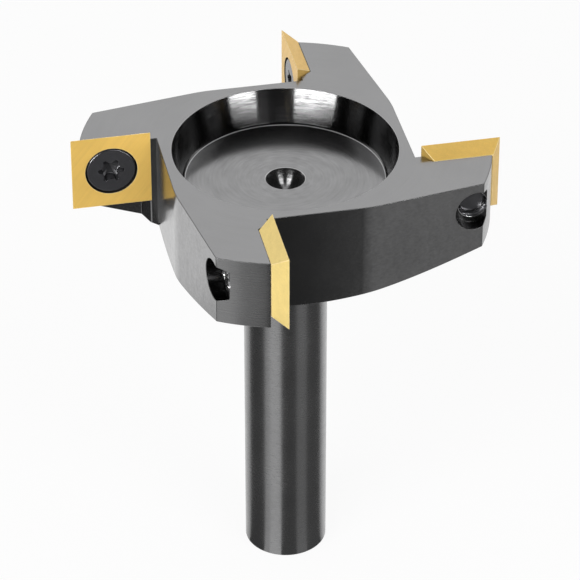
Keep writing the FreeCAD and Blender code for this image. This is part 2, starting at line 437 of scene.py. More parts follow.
@dataclass(frozen=True)
class ArmLayout:
    """Where an insert, its seat and its screw lie on an arm, in millimetres.

    The first arm runs out along X, cuts towards Y and stands up along Z.
    """

    arms: int = 4
    cutting_radius: float = 31.75
    face_height: float = 72.5
    insert_width: float = 12.0
    insert_thickness: float = 2.3
    insert_bevel: float = 33.7
    insert_face: float = -5.83
    insert_stand_out: float = 1.5
    head_radius: float = 3.7
    thread_radius: float = 2.5
    head_edge: float = 0.3
    head_cone: float = 2.014
    screw_sink: float = 0.1
    thread_pitch: float = 0.8
    thread_depth: float = 0.38

    @property
    def seat(self) -> float:
        """Place of the insert's seat in the cutting direction."""
        return self.insert_face - self.insert_thickness

    @property
    def bevel_inset(self) -> float:
        """How far an insert's back lies inside its face, on each side."""
        return self.insert_thickness * slope_of(self.insert_bevel)

    @property
    def reach(self) -> float:
        """Place of the cutting corner along the arm."""
        return math.sqrt(self.cutting_radius ** 2 - self.insert_face ** 2)

    @property
    def inner_edge(self) -> float:
        """Place of the insert's inner edge along the arm."""
        return self.reach - self.insert_width

    @property
    def middle(self) -> float:
        """Place of the screw's axis along the arm."""
        return self.reach - self.insert_width / 2

    @property
    def below_face(self) -> float:
        """How far the insert reaches below the cutter's face."""
        return self.insert_width - self.insert_stand_out

    @property
    def middle_height(self) -> float:
        """Height of the screw's axis."""
        return self.face_height - self.below_face + self.insert_width / 2

    def lay_on_arm(self, piece: Piece, start: float) -> None:
        """Lay a turned piece along the first arm's screw axis, its foot forwards.

        Args:
            piece: A piece turned about Z.
            start: Where its zero goes in the cutting direction.
        """
        piece.rotation_euler.x = math.pi / 2
        piece.location = (self.middle, start, self.middle_height)
        settle(piece)


# Finishes.


class Graph:
    """A node tree that is being wired up."""

    def __init__(self, tree: bpy.types.NodeTree) -> None:
        """Start on a material's or a group's node tree."""
        self.tree = tree

    def node(self, kind: str, *values: object, **settings: object) -> bpy.types.Node:
        """Add a node.

        Args:
            kind: The node's type name.
            *values: What feeds its inputs, in order.
            **settings: Values for the node's own properties.

        Returns:
            The new node.
        """
        made = self.tree.nodes.new(kind)
        for name, value in settings.items():
            setattr(made, name, value)
        for socket, value in zip(made.inputs, values):
            self.feed(socket, value)
        return made

    def feed(self, socket: Socket, value: object) -> None:
        """Link a socket or set its value.

        Args:
            socket: The input to feed.
            value: Another node's output, or a plain value.
        """
        if isinstance(value, Socket):
            self.tree.links.new(value, socket)
        else:
            socket.default_value = value

    def math(self, operation: str, *values: object, clamp: bool = False) -> Socket:
        """Add a Math node that takes these values, in order, and give its output."""
        made = self.node("ShaderNodeMath", *values, operation=operation, use_clamp=clamp)
        return made.outputs[0]

    def vector(self, operation: str, *values: object) -> Socket:
        """Add a Vector Math node that takes these vectors, in order, and give its output."""
        made = self.node("ShaderNodeVectorMath", *values, operation=operation)
        return made.outputs["Value" if operation == "LENGTH" else "Vector"]

    def noise(self, vector: object, scale: float, detail: float,
              w: object = None) -> Socket:
        """Add a Noise node.

        Args:
            vector: Its coordinates.
            scale: Its scale.
            detail: Its number of octaves.
            w: Its fourth coordinate, where it has one.

        Returns:
            Its value, from 0 to 1.
        """
        made = self.node("ShaderNodeTexNoise", noise_dimensions="3D" if w is None else "4D")
        if w is not None:
            self.feed(made.inputs["W"], w)
        self.feed(made.inputs["Vector"], vector)
        made.inputs["Scale"].default_value = scale
        made.inputs["Detail"].default_value = detail
        return made.outputs["Fac"]

    def rescale(self, value: object, low: object, high: object, from_low: float = 0.0,
                from_high: float = 1.0) -> Socket:
        """Map a value from one range to another.

        Args:
            value: The value.
            low: What from_low becomes.
            high: What from_high becomes.
            from_low: Lower end of the value's range.
            from_high: Upper end of the value's range.

        Returns:
            The mapped value.
        """
        made = self.node("ShaderNodeMapRange")
        for name, given in (("Value", value), ("From Min", from_low), ("From Max", from_high),
                            ("To Min", low), ("To Max", high)):
            self.feed(made.inputs[name], given)
        return made.outputs["Result"]

    def scaled(self, vector: object, factor: object) -> Socket:
        """Multiply a vector or a colour by a value.

        Args:
            vector: The vector or plain colour.
            factor: The value.

        Returns:
            The product.
        """
        made = self.node("ShaderNodeVectorMath", vector, operation="SCALE")
        self.feed(made.inputs["Scale"], factor)
        return made.outputs["Vector"]

    def streak(self, fine: Socket, coarse: Socket, share: float) -> Socket:
        """Mix fine and coarse marks, and spread the result from 0 to 1.

        Args:
            fine: The fine marks.
            coarse: The coarse marks.
            share: The coarse marks' share.

        Returns:
            The streak value.
        """
        mixed = self.math("ADD", self.math("MULTIPLY", fine, 1 - share),
                          self.math("MULTIPLY", coarse, share))
        return self.rescale(mixed, 0.0, 1.0, 0.32, 0.68)


def new_group(name: str, inputs: dict[str, tuple[str, float]],
              outputs: Sequence[str]) -> tuple[bpy.types.NodeTree, Graph, dict, dict]:
    """Start a shader node group with named sockets.

    Args:
        name: Name of the group.
        inputs: For each input, its socket type and its value.
        outputs: Names of the outputs, which are all values.

    Returns:
        The group, its graph, its inputs and its outputs by name.
    """
    tree = bpy.data.node_groups.new(name, "ShaderNodeTree")
    for title, (kind, value) in inputs.items():
        socket = tree.interface.new_socket(title, in_out="INPUT", socket_type=kind)
        if kind == "NodeSocketFloat":
            socket.default_value = value
    for title in outputs:
        tree.interface.new_socket(title, in_out="OUTPUT", socket_type="NodeSocketFloat")
    graph = Graph(tree)
    source = graph.node("NodeGroupInput")
    target = graph.node("NodeGroupOutput")
    taken = {title: source.outputs[title] for title in inputs}
    given = {title: target.inputs[title] for title in outputs}
    return tree, graph, taken, given


class Lay(Enum):
    """Which way a finish's marks run."""

    TURNED = "turned"
    GROUND = "ground"


class Effects:
    """Node groups that several finishes share, each built once."""

    mark_inputs = {"Vector": ("NodeSocketVector", 0), "Marks": ("NodeSocketFloat", 4000.0),
                   "Wander": ("NodeSocketFloat", 2.0)}
    mark_outputs = ("Height", "Streak")

    def __init__(self) -> None:
        """Build every group."""
        self.marks = {Lay.TURNED: self.build_lathe_marks(), Lay.GROUND: self.build_grinding()}
        self.handling = self.build_handling()

    @staticmethod
    def build_lathe_marks() -> bpy.types.NodeTree:
        """Build rings left by turning: fine along the radius and height, long round the axis.

        Returns:
            The group, with a height for the bump and a streak value.
        """
        tree, graph, taken, given = new_group(
            "lathe_marks", Effects.mark_inputs, Effects.mark_outputs)
        coarser = 0.16
        flat = graph.vector("MULTIPLY", taken["Vector"], (1, 1, 0))
        radius = graph.vector("LENGTH", flat)
        split = graph.node("ShaderNodeSeparateXYZ", taken["Vector"])
        around = graph.scaled(graph.vector("NORMALIZE", flat), taken["Wander"])
        out = graph.node("ShaderNodeCombineXYZ", 0.0, 0.0,
                         graph.math("MULTIPLY", radius, taken["Marks"]))
        place = graph.vector("ADD", around, out.outputs["Vector"])
        height = graph.math("MULTIPLY", split.outputs["Z"], taken["Marks"])
        fine = graph.noise(place, 1.0, 2.0, height)
        coarse = graph.noise(graph.vector("MULTIPLY", place, (1, 1, coarser)), 1.0, 1.0,
                             graph.math("MULTIPLY", height, coarser))
        graph.feed(given["Height"], fine)
        graph.feed(given["Streak"], graph.streak(fine, coarse, 0.4))
        return tree

    @staticmethod
    def build_grinding() -> bpy.types.NodeTree:
        """Build straight scratches that run along the given coordinates' X.

        Returns:
            The group, with a height for the bump and a streak value.
        """
        tree, graph, taken, given = new_group(
            "grinding", Effects.mark_inputs, Effects.mark_outputs)
        stretch = graph.node(
            "ShaderNodeCombineXYZ", graph.math("MULTIPLY", taken["Marks"], taken["Wander"]),
            taken["Marks"], taken["Marks"])
        place = graph.vector("MULTIPLY", taken["Vector"], stretch.outputs["Vector"])
        fine = graph.noise(place, 1.0, 2.0)
        coarse = graph.noise(place, 0.22, 1.0)
        graph.feed(given["Height"], fine)
        graph.feed(given["Streak"], graph.streak(fine, coarse, 0.45))
        return tree

    @staticmethod
    def build_handling() -> bpy.types.NodeTree:
        """Build the soft clouds that handling and oil leave on a metal.

        Returns:
            The group, with one cloud value.
        """
        tree, graph, taken, given = new_group(
            "handling",
            {"Vector": ("NodeSocketVector", 0), "Size": ("NodeSocketFloat", 120.0)},
            ("Cloud",))
        place = graph.scaled(taken["Vector"], taken["Size"])
        graph.feed(given["Cloud"], graph.rescale(
            graph.noise(place, 1.0, 3.0), 0.0, 1.0, 0.3, 0.7))
        return tree


@dataclass(frozen=True)
class MetalFinish:
    """A bare or coated metal surface, with the marks of the tool that made it.

    Marks are counted per metre, and wander is how fast they change along their run.
    """

    name: str
    colour: Colour
    roughness: float
    lay: Lay = Lay.TURNED
    metallic: float = 1.0
    specular: float = 0.5
    anisotropy: float = 0.0
    tangent_axis: str = "Z"
    marks: float = 4000.0
    wander: float = 2.0
    turn: Place = (0.0, 0.0, 0.0)
    centre: Place = (0.0, 0.0, 0.0)
    depth: float = 0.000004
    streak_colour: float = 0.1
    streak_roughness: float = 0.15
    cloud_colour: float = 0.04
    cloud_roughness: float = 0.1
    quarter_turn: float = 0.25

    def material(self, effects: Effects) -> bpy.types.Material:
        """Build the finish as a material.

        Args:
            effects: The shared node groups.

        Returns:
            The material.
        """
        made = bpy.data.materials.new(self.name)
        made.use_nodes = True
        graph = Graph(made.node_tree)
        shader = made.node_tree.nodes["Principled BSDF"]
        place = graph.node("ShaderNodeTexCoord").outputs["Object"]
        mapping = graph.node("ShaderNodeMapping", vector_type="TEXTURE")
        mapping.inputs["Location"].default_value = self.centre
        mapping.inputs["Rotation"].default_value = self.turn
        graph.feed(mapping.inputs["Vector"], place)
        marks = graph.node("ShaderNodeGroup", node_tree=effects.marks[self.lay])
        marks.inputs["Marks"].default_value = self.marks
        marks.inputs["Wander"].default_value = self.wander
        graph.feed(marks.inputs["Vector"], mapping.outputs["Vector"])
        clouds = graph.node("ShaderNodeGroup", node_tree=effects.handling)
        graph.feed(clouds.inputs["Vector"], place)
        streak, cloud = marks.outputs["Streak"], clouds.outputs["Cloud"]

        shade = graph.math(
            "MULTIPLY",
            graph.rescale(streak, 1 - self.streak_colour, 1 + self.streak_colour),
            graph.rescale(cloud, 1 - self.cloud_colour, 1 + self.cloud_colour))
        rough = graph.math(
            "MULTIPLY",
            graph.rescale(streak, 1 + self.streak_roughness, 1 - self.streak_roughness),
            graph.rescale(cloud, 1 - self.cloud_roughness, 1 + self.cloud_roughness))
        shader.inputs["Metallic"].default_value = self.metallic
        shader.inputs["Specular IOR Level"].default_value = self.specular
        graph.feed(shader.inputs["Base Color"], graph.scaled(self.colour, shade))
        graph.feed(shader.inputs["Roughness"],
                   graph.math("MULTIPLY", rough, self.roughness, clamp=True))
        bump = graph.node("ShaderNodeBump")
        bump.inputs["Strength"].default_value = 1.0
        bump.inputs["Distance"].default_value = self.depth
        graph.feed(bump.inputs["Height"], marks.outputs["Height"])
        graph.feed(shader.inputs["Normal"], bump.outputs["Normal"])
        if self.anisotropy:
            shader.inputs["Anisotropic"].default_value = self.anisotropy
            shader.inputs["Anisotropic Rotation"].default_value = self.quarter_turn
            tangent = graph.node("ShaderNodeTangent", direction_type="RADIAL",
                                 axis=self.tangent_axis)
            graph.feed(shader.inputs["Tangent"], tangent.outputs["Tangent"])
        return made


# Pieces.


@dataclass
class CutterBody:
    """The head with its four arms, turned and milled from one bar with the shank."""

    layout: ArmLayout
    effects: Effects
    steps: int = 256
    shank_radius: float = 6.35
    shank_chamfer: float = 0.3
    neck_fillet: float = 2.5
    neck_steps: int = 10
    rim_radius: float = 30.6
    cone_edge: float = 61.5
    underside_slope: float = 21.0
    head_bottom: float = 50.0
    recess_rim: float = 16.85
    recess_depth: float = 5.4
    recess_slope: float = 17.4
    recess_corner: float = 0.3
    centre_radius: float = 2.95
    centre_half_angle: float = 30.0
    pilot_radius: float = 1.25
    pilot_depth: float = 3.5
    point_half_angle: float = 59.0
    gap_wall: float = 18.21
    trailing_turn: float = 9.0
    trailing_length: float = 16.1
    trailing_blend: float = 18.0
    ledge_drop: float = 0.6
    ledge_radius: float = 0.5
    side_gap: float = 0.25
    threaded_wall: float = 5.6
    thread_start: float = -0.83
    thread_turns: int = 6
    clearance_radius: float = 3.1
    bore_play: float = 0.05
    hole_steps: int = 64
    gap_bottom: float = 20.0
    edge_break: float = 0.08
    edge_zone: float = 0.12
    near: float = 0.01
    flat_angle: float = 0.2
    shortest_edge: float = 0.04
    sharp_shading: float = 40.0
    overcut: float = 10.0

    def blank_rings(self) -> list[Ring]:
        """List the rings of the turned blank, from the shank's end to the centre hole.

        Returns:
            Radius and height of each ring.
        """
        face = self.layout.face_height
        slope = math.radians(self.underside_slope)
        foot = self.cone_edge - (self.rim_radius - self.shank_radius) * math.tan(slope)
        centre = (self.shank_radius + self.neck_fillet,
                  foot - self.neck_fillet * math.tan((math.pi / 2 - slope) / 2))
        sweep = math.pi / 2 - slope
        neck = []
        for index in range(self.neck_steps + 1):
            angle = math.pi - sweep * index / self.neck_steps
            neck.append((centre[0] + self.neck_fillet * math.cos(angle),
                         centre[1] + self.neck_fillet * math.sin(angle)))
        floor = face - self.recess_depth
        foot_radius = self.recess_rim - (
            self.recess_depth - self.recess_corner) * slope_of(self.recess_slope)
        pilot_start = floor - (self.centre_radius - self.pilot_radius) / slope_of(
            self.centre_half_angle)
        pilot_end = pilot_start - self.pilot_depth
        point = pilot_end - self.pilot_radius / slope_of(self.point_half_angle)
        return [
            (self.shank_radius - self.shank_chamfer, 0),
            (self.shank_radius, self.shank_chamfer),
            *neck,
            (self.rim_radius, self.cone_edge),
            (self.rim_radius, face),
            (self.recess_rim, face),
            (foot_radius, floor + self.recess_corner),
            (foot_radius - self.recess_corner, floor),
            (self.centre_radius, floor),
            (self.pilot_radius, pilot_start),
            (self.pilot_radius, pilot_end),
            (0, point),
        ]

    def gap_tool(self) -> Piece:
        """Make the cutter for the gap behind the first arm.

        Returns:
            A closed prism.
        """
        layout = self.layout
        wall = -self.gap_wall
        outside = self.rim_radius + self.overcut
        bend = layout.middle - self.trailing_length
        rise = (outside - bend) * slope_of(self.trailing_turn)
        ledge = layout.insert_face - self.ledge_drop
        side_at_face = layout.inner_edge - self.side_gap
        side_at_ledge = side_at_face + self.ledge_drop * slope_of(layout.insert_bevel)
        side_at_seat = side_at_face + layout.bevel_inset
        outline = [
            (bend, wall, self.trailing_blend),
            (ledge, wall),
            (ledge, -side_at_ledge, self.ledge_radius),
            (layout.seat, -side_at_seat),
            (layout.seat, -outside),
            (outside, -outside),
            (outside, wall + rise),
        ]
        return prism("gap_tool", outline, self.gap_bottom, layout.face_height + self.overcut)

    def bore_tool(self) -> Piece:
        """Make the stepped drill for the first arm's thread and clearance hole.

        Returns:
            A closed stepped bar.
        """
        layout = self.layout
        bore = layout.thread_radius + self.bore_play - layout.thread_depth
        tool = turned("bore_tool", [
            (bore, -OVERRUN),
            (bore, self.threaded_wall),
            (self.clearance_radius, self.threaded_wall),
            (self.clearance_radius, self.threaded_wall + self.overcut)], self.hole_steps)
        layout.lay_on_arm(tool, layout.seat)
        return tool

    def thread_tool(self) -> Piece:
        """Make the tap for the first arm's thread.

        Returns:
            A closed helical ridge.
        """
        layout = self.layout
        tip = layout.thread_radius
        tool = helical_ridge("thread_tool", tip, tip - layout.thread_depth,
                             layout.thread_pitch, self.thread_start, self.thread_turns)
        layout.lay_on_arm(tool, layout.seat)
        return tool

    def build(self) -> Piece:
        """Turn the blank, mill it and break its edges.

        Returns:
            The finished body.
        """
        body = turned("milled_body", self.blank_rings(), self.steps)
        arms = self.layout.arms
        cut(body, all_round(self.gap_tool(), arms))
        cut(body, all_round(self.bore_tool(), arms))
        merge_flats(body, self.flat_angle, self.shortest_edge)
        break_edges(body, self.edge_break)
        cut(body, all_round(self.thread_tool(), arms))
        into_frame(body)
        self.dress(body)
        smooth(body, self.sharp_shading)
        return body

    def dress(self, body: Piece) -> None:
        """Give each machined surface of the body its own finish.

        Args:
            body: The finished body, in the frame.
        """
        steel = (0.30, 0.30, 0.303)
        finishes = {
            "face": MetalFinish("faced_steel", steel, 0.2, anisotropy=0.5, marks=6000,
                                depth=0.000002, streak_colour=0.02, cloud_colour=0.03),
            "rim": MetalFinish("turned_steel", (0.29, 0.29, 0.292), 0.26, anisotropy=0.3,
                               marks=5000),
            "wall": MetalFinish("milled_steel", (0.28, 0.28, 0.282), 0.18, anisotropy=0.5,
                                marks=3000, wander=25.0, depth=0.000008,
                                streak_colour=0.15),
            # The recess wall's steel is darker than the rest of the body: painted shade that
            # deepens its dark reflection bands.
            "recess_wall": MetalFinish("bright_turned_steel", (0.14, 0.14, 0.141), 0.18,
                                       anisotropy=0.9, marks=5000, wander=8.0,
                                       depth=0.000005, streak_colour=0.3,
                                       streak_roughness=0.4),
            "recess_floor": MetalFinish("ring_turned_steel", (0.28, 0.28, 0.283), 0.17,
                                        anisotropy=0.5, marks=3000, wander=3.0),
            "centre_hole": MetalFinish("centre_drilled_steel", (0.5, 0.5, 0.503), 0.2,
                                       depth=0.00001, streak_colour=0.3),
            "shank": MetalFinish("ground_shank_steel", steel, 0.26, anisotropy=0.3,
                                 marks=8000, wander=8.0, depth=0.0000015,
                                 streak_colour=0.08),
            # Edge breaks and hole mouths get a rougher, darker steel; the darker colour is
            # painted shade that holds down their highlights.
            "edge": MetalFinish("shade_darkened_edge_steel", (0.16, 0.16, 0.162), 0.5),
            # A lighter steel band on the recess rim and foot: partly burnished wear, partly a
            # painted highlight line.
            "burnished_and_highlight": MetalFinish("burnished_and_highlight_edge_steel", (0.42, 0.42, 0.425), 0.28),
            # Hole walls are near black: painted shade inside the screw holes.
            "hole": MetalFinish("drilled_steel", (0.06, 0.06, 0.061), 0.25, marks=6000),
            # Thread flanks are far lighter than the steel: a painted highlight for the glints
            # deep in the holes.
            "thread": MetalFinish("highlight_tapped_steel", (0.85, 0.85, 0.855), 0.15, marks=6000),
        }
        order = list(finishes)
        for finish in finishes.values():
            body.data.materials.append(finish.material(self.effects))
        for polygon in body.data.polygons:
            corners = [body.data.vertices[index].co / MM for index in polygon.vertices]
            polygon.material_index = order.index(self.surface(polygon.normal, corners))

    def surface(self, normal: Vector, corners: Sequence[Vector]) -> str:
        """Tell which machined surface a face of the body belongs to.

        Args:
            normal: The face's outward direction.
            corners: Its corners, in millimetres.

        Returns:
            The surface's name.
        """
        layout = self.layout
        radii = [corner.xy.length for corner in corners]
        lowest = min(corner.z for corner in corners)
        # The neck's fillet under the head is finished as the centre hole is.
        if max(radii) < self.recess_rim + self.edge_zone and lowest > self.head_bottom:
            if lowest < layout.face_height - self.recess_depth - self.near:
                return "centre_hole"
            # The recess rim and the foot of its wall get the lighter band, partly burnishing
            # and partly a painted highlight line.
            foot = 0.75 < normal.z < 0.999 and min(radii) > self.centre_radius + 1
            if foot or min(radii) > self.recess_rim - self.edge_break:
                return "burnished_and_highlight"
            return "recess_floor" if normal.z > 0.99 else "recess_wall"
        if max(radii) < self.shank_radius + 0.1:
            return "shank"
        # Thread flanks take a painted highlight, hole walls a painted shade and hole mouths the
        # darker edge steel.
        for name, reach in (("thread", layout.thread_radius + 0.2),
                            ("hole", self.clearance_radius + 2 * self.near),
                            ("edge", self.clearance_radius + self.edge_zone)):
            if any(self.in_hole(corners, arm, reach) for arm in range(layout.arms)):
                return name
        if normal.z > 0.98:
            return "face"
        # Edge breaks along the top face take the darker edge steel, a painted shade.
        if normal.z > 0.1 and lowest > layout.face_height - self.edge_zone:
            return "edge"
        if normal.z < -0.1 or min(radii) > self.rim_radius - 0.15:
            return "rim"
        return "wall"

    def in_hole(self, corners: Sequence[Vector], arm: int, reach: float) -> bool:
        """Tell whether a face lies inside an arm's screw hole.

        Args:
            corners: The face's corners.
            arm: Number of quarter turns to the arm.
            reach: How far from the hole's axis still counts.

        Returns:
            Whether all its corners lie that near the axis, behind the insert's seat.
        """
        layout = self.layout
        turn = Matrix.Rotation(-2 * math.pi * arm / layout.arms, 3, "Z")
        for corner in corners:
            place = turn @ corner
            across = math.hypot(place.x - layout.middle, place.z - layout.middle_height)
            if across > reach or place.y > layout.seat - self.near:
                return False
        return True


@dataclass
class CuttingInserts:
    """The four square inserts, bevelled on all sides."""

    layout: ArmLayout
    effects: Effects
    hole_clearance: float = 0.02
    rim_clearance: float = 0.22
    rim_depth: float = 0.55
    edge_hone: float = 0.06
    sharp_shading: float = 40.0
    # One gold coating toned differently on each insert by how it is lit: painted light and
    # shade.
    lit_coat_tones: tuple[Colour, ...] = (
        (0.78, 0.51, 0.13), (0.86, 0.56, 0.165), (0.85, 0.55, 0.13), (0.81, 0.62, 0.22))
    # Honed edges are a lighter gold: partly honing, partly a painted highlight line along each
    # edge.
    hone_and_highlight_colour: Colour = (0.95, 0.74, 0.36)
    # The insert's bore is near black: painted shade in the gap round the screw's head.
    bore_shade_colour: Colour = (0.02, 0.018, 0.015)
    grinding_turn: float = 52.0

    def build(self) -> list[Piece]:
        """Shape one insert and copy it to each arm.

        Returns:
            The four inserts.
        """
        layout = self.layout
        half_deep = layout.insert_thickness / 2
        middle = (layout.middle, layout.insert_face - half_deep, layout.middle_height)
        clear_selection()
        bpy.ops.mesh.primitive_cube_add(
            size=1, location=middle,
            scale=(layout.insert_width, layout.insert_thickness, layout.insert_width))
        insert = bpy.context.active_object
        insert.name = "gold_insert"
        settle(insert)
        bpy.ops.object.mode_set(mode="EDIT")
        bpy.ops.mesh.select_all(action="DESELECT")
        mesh = bmesh.from_edit_mesh(insert.data)
        for face in mesh.faces:
            if face.normal.y < -0.9:
                face.select_set(True)
        bmesh.update_edit_mesh(insert.data)
        scale = 1 - 2 * layout.bevel_inset / layout.insert_width
        bpy.ops.transform.resize(value=(scale, 1, scale), center_override=middle)
        bpy.ops.object.mode_set(mode="OBJECT")
        head, thread = layout.head_radius, layout.thread_radius
        hole = turned("countersink_tool", [
            (head + self.rim_clearance, -OVERRUN),
            (head + self.rim_clearance, self.rim_depth),
            (thread + self.hole_clearance, layout.screw_sink + layout.head_cone),
            (thread + self.hole_clearance, layout.insert_thickness + OVERRUN)], ROUND_STEPS)
        layout.lay_on_arm(hole, layout.insert_face)
        cut(insert, hole)
        for _ in range(3):
            bpy.ops.object.material_slot_add()
        # New edge faces take slot 2, the lighter honed gold that is partly a painted highlight.
        break_edges(insert, self.edge_hone, 2)
        return finish_round(insert, layout.arms, self.dress, self.sharp_shading)

    def dress(self, insert: Piece, index: int) -> None:
        """Give an insert its ground, gold-coated finish, with painted shade in its bore and
        lighter honed edges that are partly a painted highlight.

        Args:
            insert: The insert, in the frame.
            index: Its place round the cutter.
        """
        layout = self.layout
        turn = 2 * math.pi * index / layout.arms
        number = index + 1
        # This insert's coat tone carries its painted light and shade.
        gold = MetalFinish(
            "gold_coating_%d" % number, self.lit_coat_tones[index], 0.42, lay=Lay.GROUND,
            marks=6000, wander=0.02, turn=(0, math.radians(self.grinding_turn), turn),
            depth=0.000003, metallic=0.35, streak_colour=0.06, streak_roughness=0.1)
        bore = MetalFinish("insert_bore_shade_%d" % number, self.bore_shade_colour, 0.8, lay=Lay.GROUND,
                           marks=6000, wander=0.02, metallic=0.0, specular=0.1)
        honed_and_highlight = replace(gold, name="honed_and_highlight_edge_%d" % number, colour=self.hone_and_highlight_colour)
        for slot, finish in enumerate((gold, bore, honed_and_highlight)):
            insert.data.materials[slot] = finish.material(self.effects)
        round_axis = Matrix.Rotation(turn, 3, "Z")
        axis = round_axis @ Vector((layout.middle, 0, layout.middle_height))
        across = round_axis @ Vector((0, 1, 0))
        reach = layout.head_radius + self.rim_clearance + self.edge_hone / 2
        # Faces in the screw's bore take the near-black bore finish, a painted shade.
        for polygon in insert.data.polygons:
            away = [corner - axis - across * (corner - axis).dot(across)
                    for corner in (insert.data.vertices[i].co / MM for i in polygon.vertices)]
            if max(corner.length for corner in away) < reach:
                polygon.material_index = 1


@dataclass
class InsertScrews:
    """The four countersunk screws with a six-lobe socket."""

    layout: ArmLayout
    effects: Effects
    length: float = 6.7
    tip_inset: float = 0.75
    tip_chamfer: float = 0.8
    socket_radius: float = 1.93
    socket_depth: float = 1.5
    socket_cone: float = 0.5
    rib_radius: float = 0.8685
    rib_place: float = 2.249
    lobes: int = 6
    edge_break: float = 0.05
    thread_turns: int = 5
    thread_run_in: float = 0.4
    thread_relief: float = 0.08
    sharp_shading: float = 35.0
    oxide: Colour = (0.05, 0.05, 0.054)
    # Edge breaks are lighter: partly worn oxide, partly a painted highlight on the head's rim,
    # the socket and the tip.
    wear_and_highlight: Colour = (0.2, 0.2, 0.21)
    # The head's side is near black and matt: painted shade for the gap round the head.
    head_side: Colour = (0.02, 0.02, 0.021)

    def socket_tool(self) -> Piece:
        """Make the punch for the socket.

        Returns:
            A closed six-lobed bar with a blunt point.
        """
        punch = turned("socket_tool", [
            (self.socket_radius, -OVERRUN),
            (self.socket_radius, self.socket_depth),
            (0, self.socket_depth + self.socket_cone)], ROUND_STEPS)
        rib = turned("rib_tool", [
            (self.rib_radius, -2 * OVERRUN),
            (self.rib_radius, self.socket_depth + self.socket_cone + 2 * OVERRUN)],
            ROUND_STEPS // 2)
        rib.location.x = self.rib_place
        settle(rib)
        rib.rotation_euler.z = math.pi / self.lobes
        settle(rib)
        cut(punch, all_round(rib, self.lobes))
        return punch

    def build(self) -> list[Piece]:
        """Turn one screw, punch its socket, cut its thread and copy it to each arm.

        Returns:
            The four screws.
        """
        layout = self.layout
        head, thread, edge = layout.head_radius, layout.thread_radius, layout.head_edge
        screw = turned("black_screw", [
            (head - edge / 2, 0),
            (head, edge / 2),
            (head, edge),
            (thread, layout.head_cone),
            (thread, self.length - self.tip_chamfer),
            (thread - self.tip_inset, self.length)], ROUND_STEPS)
        cut(screw, self.socket_tool())
        for _ in range(3):
            bpy.ops.object.material_slot_add()
        # New edge faces take slot 1, the lighter worn finish that is partly a painted
        # highlight.
        break_edges(screw, self.edge_break, 1)
        start = (self.length - self.tip_chamfer + self.thread_run_in
                 - self.thread_turns * layout.thread_pitch)
        cut(screw, helical_ridge(
            "screw_thread_tool", thread - layout.thread_depth, thread + self.thread_relief,
            layout.thread_pitch, start, self.thread_turns))
        layout.lay_on_arm(screw, layout.insert_face - layout.screw_sink)
        return finish_round(screw, layout.arms, self.dress, self.sharp_shading)

    def dress(self, screw: Piece, index: int) -> None:
        """Give a screw its black-oxided finish, with lighter edge breaks that are partly a
        painted highlight and a near-black head side that is painted shade.

        Args:
            screw: The screw, in the frame.
            index: Its place round the cutter.
        """
        axis = "Y" if index % 2 == 0 else "X"
        layout = self.layout
        turn = 2 * math.pi * index / layout.arms
        centre = (layout.middle * MM * math.cos(turn), layout.middle * MM * math.sin(turn),
                  layout.middle_height * MM)
        number = index + 1
        black = MetalFinish(
            "black_oxide_%d" % number, self.oxide, 0.22, metallic=0.35, anisotropy=0.3,
            tangent_axis=axis, marks=5000, turn=(math.pi / 2, 0, turn), centre=centre,
            depth=0.000002)
        # Lighter edge breaks: partly worn oxide, partly a painted highlight.
        wear_and_highlight = replace(black, name="wear_and_highlight_edge_%d" % number, colour=self.wear_and_highlight, metallic=1.0)
        # Near-black matt side of the head: painted shade in the gap round it.
        matt = replace(black, name="head_side_painted_shade_%d" % number, colour=self.head_side,
                       roughness=0.8, metallic=0.0, specular=0.1)
        for slot, finish in enumerate((black, wear_and_highlight, matt)):
            screw.data.materials[slot] = finish.material(self.effects)
        # Faces on the head's side take the painted-shade finish.
        to_arm = Matrix.Rotation(-turn, 3, "Z")
        for polygon in screw.data.polygons:
            place = to_arm @ polygon.center / MM
            across = math.hypot(place.x - layout.middle, place.z - layout.middle_height)
            if across > layout.head_radius - self.edge_break:
                polygon.material_index = 2


# Studio.


